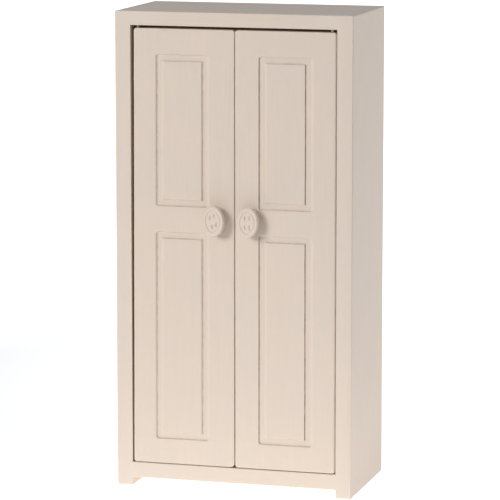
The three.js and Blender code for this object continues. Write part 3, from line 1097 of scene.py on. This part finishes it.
def knob_hole(bm, x, y, boss, place):
    """A shallow oval hole, filled with paint to a bowl; gives the loop at its soft lip."""
    stretch = KNOB_HOLE_HEIGHT / KNOB_HOLE_WIDTH
    lip = (KNOB_HOLE_WIDTH + KNOB_HOLE_LIP, boss)
    foot = (KNOB_HOLE_WIDTH * KNOB_HOLE_FOOT, boss - KNOB_HOLE_DEPTH)
    profile = [lip, *eased(lip, foot)]
    loops = []
    for points in turned_loops(profile, HOLE_SIDES, lambda a, b, h: place(x + a, y + b * stretch, h)):
        loops.append(add_loop(bm, points))
    join_all(bm, loops)
    bm.faces.new(loops[-1])
    return loops[0]


# ---------------------------------------------------------------- assembly

for which in ("left", "right"):
    side_panel(which)
    hinge_pin(f"{which}_door_top_pin")
    hinge_pin(f"{which}_door_bottom_pin")
    door(which)
    knob_peg(which)
    knob(which)
cross_board(
    "top_board", INNER_CEILING, CASE_HIGH.z, INNER_CEILING - OVERRUN, INNER_CEILING + REBATE,
    ["left_door_top_pin", "right_door_top_pin"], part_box("left_door_top_pin")[1].z + PLAY,
)
cross_board(
    "bottom_board", BOARD_BOTTOM, INNER_FLOOR, INNER_FLOOR - REBATE, INNER_FLOOR + OVERRUN,
    ["left_door_bottom_pin", "right_door_bottom_pin"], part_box("left_door_bottom_pin")[0].z - PLAY,
)
small_board("shelf", INNER_ROUNDING, SHELF_WOOD)
# The strip's dark wood is painted shade for the gap over the doors.
small_board("door_stop_strip", INNER_ROUNDING, STRIP_SHADE_WOOD)
small_board("back_panel", BACK_PANEL_ROUNDING, BACK_BOARD)
clothes_rail()
for cad_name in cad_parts:
    if cad_name.startswith("back_brad"):
        brad(cad_name)


# ---------------------------------------------------------------- floor, light and camera

def floor_stage():
    """A pale floor that glows round the wardrobe and again far behind it."""
    bm = bmesh.new()
    bmesh.ops.create_grid(bm, x_segments=2, y_segments=2, size=FLOOR_HALF_WIDTH)
    stage = mesh_object("floor", bm)
    material, tree, shader = new_material("pale_floor")
    coordinates = add_node(tree, "ShaderNodeTexCoord")
    length = add_node(tree, "ShaderNodeVectorMath", operation="LENGTH")
    tree.links.new(coordinates.outputs["Object"], length.inputs[0])
    nearness = ramp(tree, length.outputs["Value"], *FLOOR_FADE, 1.0, 0.0)
    split = add_node(tree, "ShaderNodeSeparateXYZ")
    tree.links.new(coordinates.outputs["Object"], split.inputs[0])
    side_glow = ramp(tree, split.outputs["X"], *FLOOR_SIDE_FADE, FLOOR_NEAR, FLOOR_NEAR + FLOOR_SIDE)
    near_glow = combined(tree, "MULTIPLY", nearness, side_glow)
    back_glow = ramp(tree, split.outputs["Y"], *FLOOR_BACK_FADE, 0.0, FLOOR_BACK)
    glow = combined(tree, "ADD", near_glow, back_glow)
    shader.inputs["Base Color"].default_value = FLOOR_TONE
    shader.inputs["Roughness"].default_value = FLOOR_ROUGHNESS
    shader.inputs["Emission Color"].default_value = (1.0, 1.0, 1.0, 1.0)
    tree.links.new(glow, shader.inputs["Emission Strength"])
    stage.data.materials.append(material)


def soft_light(name, azimuth, elevation, distance, size, power):
    """A square softbox that faces the middle of the doors; azimuth 0 is in front, positive to the right."""
    light = bpy.data.lights.new(name, "AREA")
    light.shape = "SQUARE"
    light.size = size
    light.energy = power
    lamp = bpy.data.objects.new(name, light)
    azimuth, elevation = math.radians(azimuth), math.radians(elevation)
    away = Vector((
        math.sin(azimuth) * math.cos(elevation),
        -math.cos(azimuth) * math.cos(elevation),
        math.sin(elevation),
    ))
    lamp.location = Vector((0, FRONT, CASE_HIGH.z / 2)) + away * distance
    lamp.rotation_euler = away.to_track_quat("Z", "Y").to_euler()
    bpy.context.scene.collection.objects.link(lamp)


def surroundings():
    """Even light from all round, changing from the horizon up."""
    world = bpy.data.worlds.new("studio")
    world.use_nodes = True
    tree = world.node_tree
    background = tree.nodes["Background"]
    coordinates = add_node(tree, "ShaderNodeTexCoord")
    split = add_node(tree, "ShaderNodeSeparateXYZ")
    tree.links.new(coordinates.outputs["Generated"], split.inputs[0])
    strength = ramp(tree, split.outputs["Z"], *SKY_FADE, SKY_LOW, SKY_HIGH)
    background.inputs["Color"].default_value = SKY_COLOUR
    tree.links.new(strength, background.inputs["Strength"])
    bpy.context.scene.world = world


def camera():
    """The camera, aimed at the middle of the doors."""
    data = bpy.data.cameras.new("camera")
    data.lens = VIEW_LENS
    data.sensor_width = 36
    data.clip_end = 100
    view = bpy.data.objects.new("camera", data)
    away = Vector((
        math.sin(VIEW_AZIMUTH) * math.cos(VIEW_ELEVATION),
        -math.cos(VIEW_AZIMUTH) * math.cos(VIEW_ELEVATION),
        math.sin(VIEW_ELEVATION),
    ))
    target = Vector((AIM_RIGHT, FRONT, AIM_HEIGHT))
    view.location = target + away * VIEW_DISTANCE
    view.rotation_euler = away.to_track_quat("Z", "Y").to_euler()
    bpy.context.scene.collection.objects.link(view)
    bpy.context.scene.camera = view


floor_stage()
surroundings()
soft_light("key", KEY_AZIMUTH, KEY_ELEVATION, KEY_DISTANCE, KEY_SIZE, KEY_POWER)
soft_light("fill", FILL_AZIMUTH, FILL_ELEVATION, FILL_DISTANCE, FILL_SIZE, FILL_POWER)
camera()
bpy.context.scene.view_settings.view_transform = "Standard"
